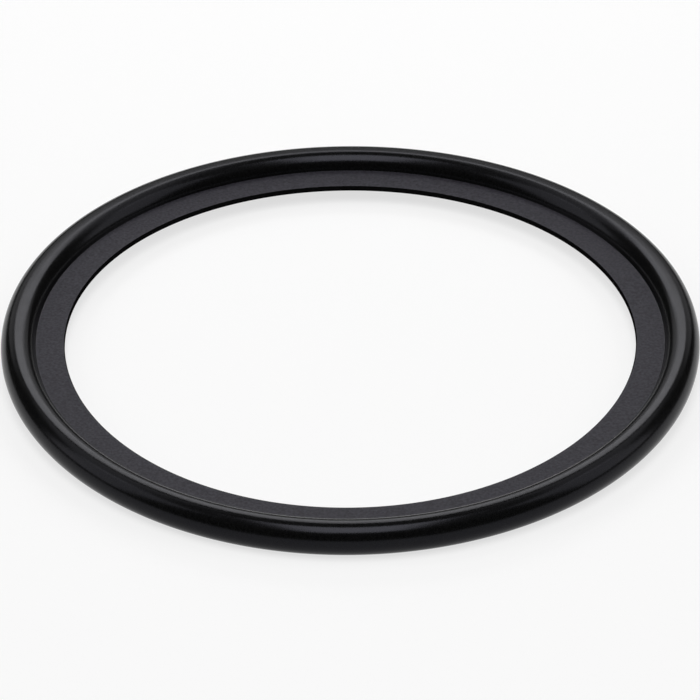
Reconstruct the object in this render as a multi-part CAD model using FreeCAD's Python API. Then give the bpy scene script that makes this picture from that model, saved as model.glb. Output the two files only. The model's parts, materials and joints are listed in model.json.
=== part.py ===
"""Oil cooler seal: a moulded rubber ring with a round bead at the rim and a thin flat web inside it.

Units are millimetres. The ring's axis is Z, and the middle of the web's thickness is at Z = 0.
The ring is one section turned round its axis. The section is the same above and below Z = 0.
"""

import math
import os

import FreeCAD
import Part

# Size of the ring
SEAL_DIAMETER = 76.0
BEAD_DIAMETER = 3.8

# The web runs from the bead to the hole, where both its edges have a small bevel beside the hole's wall
WEB_WIDTH = 3.15
WEB_THICKNESS = 0.6
HOLE_WALL_HEIGHT = 0.4

# Distances from the axis
RIM = SEAL_DIAMETER / 2
BEAD_RADIUS = BEAD_DIAMETER / 2
BEAD_CENTRE = RIM - BEAD_RADIUS
HOLE = RIM - BEAD_DIAMETER - WEB_WIDTH

# Heights above the middle of the web, and the bevel between them
WEB_TOP = WEB_THICKNESS / 2
WALL_TOP = HOLE_WALL_HEIGHT / 2
HOLE_BEVEL = WEB_TOP - WALL_TOP

# The web's flat faces end where they meet the round bead
WEB_END = BEAD_CENTRE - math.sqrt(BEAD_RADIUS ** 2 - WEB_TOP ** 2)


def point(radius, height):
    """A point of the section, which is drawn in the XZ plane."""
    return FreeCAD.Vector(radius, 0, height)


def web_outline():
    """The section's straight edges, from the top of the bead's root round the hole to the bottom of it."""
    upper = [
        point(WEB_END, WEB_TOP),
        point(HOLE + HOLE_BEVEL, WEB_TOP),
        point(HOLE, WALL_TOP),
    ]
    lower = [point(corner.x, -corner.z) for corner in reversed(upper)]
    return Part.makePolygon(upper + lower)


def bead_outline():
    """The section's round edge, from the bottom of the bead's root over the rim to the top of it."""
    return Part.Arc(point(WEB_END, -WEB_TOP), point(RIM, 0), point(WEB_END, WEB_TOP)).toShape()


def seal_ring():
    """The section turned once round the ring's axis."""
    section = Part.Face(Part.Wire([web_outline(), bead_outline()]))
    return section.revolve(FreeCAD.Vector(0, 0, 0), FreeCAD.Vector(0, 0, 1), 360)


def main():
    os.makedirs("parts", exist_ok=True)
    seal_ring().exportStep("parts/seal_ring.step")


main()
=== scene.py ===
"""Looks of the oil cooler seal: a moulded black rubber ring on a white floor in soft studio light.

Lengths are in metres. The ring's axis is Z, and the camera looks along +Y and down, as in the photograph.
"""

import json
import math

import bpy
from mathutils import Matrix, Vector


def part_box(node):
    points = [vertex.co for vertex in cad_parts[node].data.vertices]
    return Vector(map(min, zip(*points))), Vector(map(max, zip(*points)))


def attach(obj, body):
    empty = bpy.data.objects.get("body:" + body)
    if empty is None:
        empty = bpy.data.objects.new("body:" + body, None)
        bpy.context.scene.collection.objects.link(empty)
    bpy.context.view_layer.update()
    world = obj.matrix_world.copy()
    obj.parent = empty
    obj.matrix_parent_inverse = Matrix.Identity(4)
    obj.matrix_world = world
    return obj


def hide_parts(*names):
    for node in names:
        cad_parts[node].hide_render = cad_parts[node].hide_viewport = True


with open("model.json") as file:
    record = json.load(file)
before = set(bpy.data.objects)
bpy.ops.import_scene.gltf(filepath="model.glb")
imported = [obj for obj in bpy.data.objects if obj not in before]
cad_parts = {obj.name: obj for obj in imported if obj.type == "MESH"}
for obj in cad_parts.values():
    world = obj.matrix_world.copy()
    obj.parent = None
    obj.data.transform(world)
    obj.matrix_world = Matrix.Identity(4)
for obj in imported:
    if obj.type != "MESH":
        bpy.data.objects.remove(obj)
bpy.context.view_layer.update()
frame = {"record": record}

MM = 0.001

# Sizes that the frame gives
mounts = {mount["name"]: mount for mount in frame["record"]["mounts"]}
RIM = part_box("seal_ring")[1].x
CREST = mounts["bead_top"]["pos_m"][2]
HOLE = mounts["web_hole"]["dims"]["r_mm"] * MM
WALL_TOP = mounts["web_hole"]["dims"]["length_mm"] * MM / 2

# Section of the ring, finer than the solid: the bead's crest is a little flattened, and its root is eased
WEB_TOP = 0.3 * MM
OUTER_SHOULDER_WIDTH = 1.68 * MM
CREST_LAND_WIDTH = 0.35 * MM
INNER_SHOULDER_WIDTH = 1.73 * MM
ROOT_FILLET = 0.05 * MM
FLANK = RIM - OUTER_SHOULDER_WIDTH - CREST_LAND_WIDTH - INNER_SHOULDER_WIDTH

# Bow of the soft ring: left and right stand this much above the mean, front and back this much below it
BOW = 0.23 * MM
BOW_TURN = math.radians(-9)

# Mesh steps: round the ring, and along each stretch of the section
RING_STEPS = 720
EDGE_STEPS = 6
WEB_STEPS = 8
FILLET_STEPS = 5
SHOULDER_STEPS = 20

# Material slots of the ring, in the order in which seal_ring fills them
BEAD_SLOT = 0
WEB_SLOT = 1
WALL_SLOT = 2

# Camera: a long lens, with the ring's right side a little raised in the picture
CAMERA_DISTANCE = 1.308
CAMERA_ELEVATION = math.radians(34.19)
CAMERA_ROLL = math.radians(-0.453)
CAMERA_LENS_MM = 618.3
CAMERA_AIM = Vector((-0.04 * MM, 0, -0.75 * MM))
CAMERA_NEAR = 0.01
CAMERA_FAR = 20

# Rubber: a satin black bead, a matt web that is a little paler and bluer, and a dead matt black hole wall
BEAD_COLOUR = (0.004, 0.004, 0.004)
BEAD_GLOSS = 0.16
BEAD_ROUGHNESS = 0.21
BEAD_GRAIN_DEPTH = 0.002 * MM
WEB_COLOUR = (0.0275, 0.026, 0.032)
WEB_GLOSS = 0.1
WEB_ROUGHNESS = 0.4
WEB_GRAIN_DEPTH = 0.008 * MM
WALL_GLOSS = 0
GLOSS_TINT = (0.85, 0.85, 1, 1)
COLOUR_SPREAD = 0.9
MOTTLE_SIZE = 0.3 * MM
ROUGHNESS_SPREAD = 0.04
POLISH_SIZE = 2 * MM
GRAIN_SIZE = 0.15 * MM
NOISE_DETAIL = 3

# Surroundings
FLOOR_SIDE = 8.0
FLOOR_COLOUR = (0.95, 0.95, 0.95, 1)
PAPER_SHARE = 0.7
LAMP_DISTANCE = 0.8
BACKLIGHT_DISTANCE = 0.2
WORLD_COLOUR = (0.01, 0.01, 0.01, 1)


def ellipse_arc(centre, width, height, start, end, steps):
    """Points (radius, z) along part of an ellipse. The angles are degrees from the outward direction."""
    points = []
    for step in range(steps + 1):
        angle = math.radians(start + (end - start) * step / steps)
        points.append((centre[0] + width * math.cos(angle), centre[1] + height * math.sin(angle)))
    return points


def upper_section():
    """Points of the section's upper half, from the hole's wall over the web and the bead to the rim."""
    edge = WEB_TOP - WALL_TOP
    hole_edge = ellipse_arc((HOLE + edge, WALL_TOP), edge, edge, 180, 90, EDGE_STEPS)
    web_end = FLANK - ROOT_FILLET
    web_start = hole_edge[-1][0]
    web = [(web_start + (web_end - web_start) * step / WEB_STEPS, WEB_TOP) for step in range(1, WEB_STEPS)]
    fillet = ellipse_arc((web_end, WEB_TOP + ROOT_FILLET), ROOT_FILLET, ROOT_FILLET, -90, 0, FILLET_STEPS)
    inner_centre = FLANK + INNER_SHOULDER_WIDTH
    flank_angle = math.degrees(math.asin((WEB_TOP + ROOT_FILLET) / CREST))
    inner = ellipse_arc(
        (inner_centre, 0), INNER_SHOULDER_WIDTH, CREST, 180 - flank_angle, 90, SHOULDER_STEPS
    )
    outer_centre = RIM - OUTER_SHOULDER_WIDTH
    outer = ellipse_arc((outer_centre, 0), OUTER_SHOULDER_WIDTH, CREST, 90, 0, SHOULDER_STEPS)
    return hole_edge + web + fillet + inner[1:] + outer


def ring_mesh():
    """The closed section turned round the axis, with each face in the slot of its material."""
    upper = upper_section()
    lower = [(radius, -z) for radius, z in reversed(upper[:-1])]
    section = upper + lower
    rows = len(section)
    vertices = []
    for step in range(RING_STEPS):
        angle = 2 * math.pi * step / RING_STEPS
        lift = BOW * math.cos(2 * (angle - BOW_TURN))
        cosine, sine = math.cos(angle), math.sin(angle)
        vertices += [(radius * cosine, radius * sine, z + lift) for radius, z in section]
    faces = []
    for step in range(RING_STEPS):
        here, there = step * rows, (step + 1) % RING_STEPS * rows
        for row in range(rows):
            after = (row + 1) % rows
            faces.append((here + row, here + after, there + after, there + row))
    mesh = bpy.data.meshes.new("seal_ring_fine")
    mesh.from_pydata(vertices, [], faces)
    edge = [WALL_SLOT] * EDGE_STEPS
    web = [WEB_SLOT] * WEB_STEPS
    bead = [BEAD_SLOT] * (rows - 1 - 2 * (EDGE_STEPS + WEB_STEPS))
    wall = [WALL_SLOT]
    slots = edge + web + bead + web + edge + wall
    mesh.polygons.foreach_set("material_index", slots * RING_STEPS)
    mesh.polygons.foreach_set("use_smooth", [True] * len(faces))
    mesh.update()
    return mesh


def link(name, data):
    """A new object in the scene."""
    made = bpy.data.objects.new(name, data)
    bpy.context.scene.collection.objects.link(made)
    return made


def new_material(name):
    """A material with its nodes, its links and its Principled shader."""
    material = bpy.data.materials.new(name)
    material.use_nodes = True
    return material, material.node_tree.nodes, material.node_tree.links


def noise(nodes, links, size):
    """A noise texture with patches of this size, fixed to the ring. Gives its output."""
    place = nodes.new("ShaderNodeTexCoord")
    texture = nodes.new("ShaderNodeTexNoise")
    texture.inputs["Scale"].default_value = 1 / size
    texture.inputs["Detail"].default_value = NOISE_DETAIL
    links.new(place.outputs["Object"], texture.inputs["Vector"])
    return texture.outputs["Fac"]


def rubber(name, colour, gloss, roughness, grain_depth):
    """Moulded rubber with a mottled colour, an uneven, bluish gloss and a fine grain from the mould."""
    material, nodes, links = new_material(name)
    shader = nodes["Principled BSDF"]
    shader.inputs["Specular IOR Level"].default_value = gloss
    shader.inputs["Specular Tint"].default_value = GLOSS_TINT

    mottling = nodes.new("ShaderNodeMix")
    mottling.data_type = "RGBA"
    mottling.inputs["A"].default_value = (*[part * (1 - COLOUR_SPREAD) for part in colour], 1)
    mottling.inputs["B"].default_value = (*[part * (1 + COLOUR_SPREAD) for part in colour], 1)
    links.new(noise(nodes, links, MOTTLE_SIZE), mottling.inputs["Factor"])
    links.new(mottling.outputs["Result"], shader.inputs["Base Color"])

    polish = nodes.new("ShaderNodeMapRange")
    polish.inputs["To Min"].default_value = roughness - ROUGHNESS_SPREAD
    polish.inputs["To Max"].default_value = roughness + ROUGHNESS_SPREAD
    links.new(noise(nodes, links, POLISH_SIZE), polish.inputs["Value"])
    links.new(polish.outputs["Result"], shader.inputs["Roughness"])

    bump = nodes.new("ShaderNodeBump")
    bump.inputs["Distance"].default_value = grain_depth
    links.new(noise(nodes, links, GRAIN_SIZE), bump.inputs["Height"])
    links.new(bump.outputs["Normal"], shader.inputs["Normal"])
    return material


def seal_ring():
    """The ring, in the place of its solid."""
    ring = link("seal_ring_rubber", ring_mesh())
    for material in (
        rubber("bead_rubber", BEAD_COLOUR, BEAD_GLOSS, BEAD_ROUGHNESS, BEAD_GRAIN_DEPTH),
        rubber("web_rubber", WEB_COLOUR, WEB_GLOSS, WEB_ROUGHNESS, WEB_GRAIN_DEPTH),
        rubber("wall_rubber", BEAD_COLOUR, WALL_GLOSS, WEB_ROUGHNESS, WEB_GRAIN_DEPTH),
    ):
        ring.data.materials.append(material)
    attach(ring, "root")
    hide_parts("seal_ring")
    return ring


def floor_paint():
    """Matt white paint. The camera, reflections and glass see a share of it as plain white paper."""
    material, nodes, links = new_material("floor_paint")
    paint = nodes["Principled BSDF"]
    paint.inputs["Base Color"].default_value = FLOOR_COLOUR
    paint.inputs["Roughness"].default_value = 1
    paint.inputs["Specular IOR Level"].default_value = 0
    paper = nodes.new("ShaderNodeEmission")
    path = nodes.new("ShaderNodeLightPath")
    seen = path.outputs["Is Camera Ray"]
    for ray in ("Is Glossy Ray", "Is Transmission Ray"):
        either = nodes.new("ShaderNodeMath")
        either.operation = "MAXIMUM"
        links.new(seen, either.inputs[0])
        links.new(path.outputs[ray], either.inputs[1])
        seen = either.outputs["Value"]
    share = nodes.new("ShaderNodeMath")
    share.operation = "MULTIPLY"
    links.new(seen, share.inputs[0])
    share.inputs[1].default_value = PAPER_SHARE
    blend = nodes.new("ShaderNodeMixShader")
    links.new(share.outputs["Value"], blend.inputs["Fac"])
    links.new(paint.outputs["BSDF"], blend.inputs[1])
    links.new(paper.outputs["Emission"], blend.inputs[2])
    links.new(blend.outputs["Shader"], nodes["Material Output"].inputs["Surface"])
    # The paper is only seen or mirrored, so it isn't sampled as a lamp
    material.cycles.emission_sampling = "NONE"
    return material


def studio_floor(height):
    """A plain white floor under the ring, at this height."""
    half = FLOOR_SIDE / 2
    mesh = bpy.data.meshes.new("floor")
    corners = [(-half, -half, height), (half, -half, height), (half, half, height), (-half, half, height)]
    mesh.from_pydata(corners, [], [(0, 1, 2, 3)])
    floor = link("floor", mesh)
    mesh.materials.append(floor_paint())


def softbox(name, azimuth, elevation, width, height, radiance, distance=LAMP_DISTANCE):
    """A rectangular soft lamp of this radiance, which faces the ring's centre from this distance.

    Its place, width and height are angles in degrees, as seen from the ring's centre. Azimuth 0
    is on the camera's side, and 90 is to the camera's right.
    """
    data = bpy.data.lights.new(name, "AREA")
    data.shape = "RECTANGLE"
    data.size = 2 * distance * math.tan(math.radians(width / 2))
    data.size_y = 2 * distance * math.tan(math.radians(height / 2))
    data.energy = radiance * math.pi * data.size * data.size_y
    lamp = link(name, data)
    turn, rise = math.radians(azimuth), math.radians(elevation)
    back = Vector((math.sin(turn) * math.cos(rise), -math.cos(turn) * math.cos(rise), math.sin(rise)))
    lamp.location = back * distance
    lamp.rotation_mode = "QUATERNION"
    lamp.rotation_quaternion = back.to_track_quat("Z", "Y")
    lamp.visible_camera = False


def studio_lights():
    """Plain soft lamps overhead, behind the ring and at both its sides."""
    softbox("toplight", azimuth=0, elevation=74, width=25, height=42, radiance=4.9)
    softbox(
        "backlight", azimuth=180, elevation=38, width=36, height=12, radiance=4.1,
        distance=BACKLIGHT_DISTANCE,
    )
    softbox("wide_backlight", azimuth=180, elevation=24, width=64, height=20, radiance=0.7)
    for side, sign in (("left", -1), ("right", 1)):
        softbox(side + "_sidelight", azimuth=88 * sign, elevation=33, width=32, height=48, radiance=1.4)
        softbox(side + "_back_fill", azimuth=132 * sign, elevation=53, width=38, height=20, radiance=0.9)


def dim_room():
    """A nearly black room round the floor and the lamps."""
    world = bpy.data.worlds.new("room")
    world.use_nodes = True
    world.node_tree.nodes["Background"].inputs["Color"].default_value = WORLD_COLOUR
    bpy.context.scene.world = world


def photo_camera():
    """The photograph's camera."""
    data = bpy.data.cameras.new("camera")
    data.lens = CAMERA_LENS_MM
    data.clip_start = CAMERA_NEAR
    data.clip_end = CAMERA_FAR
    camera = link("camera", data)
    back = Vector((0, -math.cos(CAMERA_ELEVATION), math.sin(CAMERA_ELEVATION)))
    place = Matrix.Translation(CAMERA_AIM + back * CAMERA_DISTANCE)
    look = back.to_track_quat("Z", "Y").to_matrix().to_4x4()
    roll = Matrix.Rotation(CAMERA_ROLL, 4, "Z")
    camera.matrix_world = place @ look @ roll
    bpy.context.scene.camera = camera


ring = seal_ring()
studio_floor(min(vertex.co.z for vertex in ring.data.vertices))
studio_lights()
dim_room()
photo_camera()
bpy.context.scene.view_settings.view_transform = "Standard"
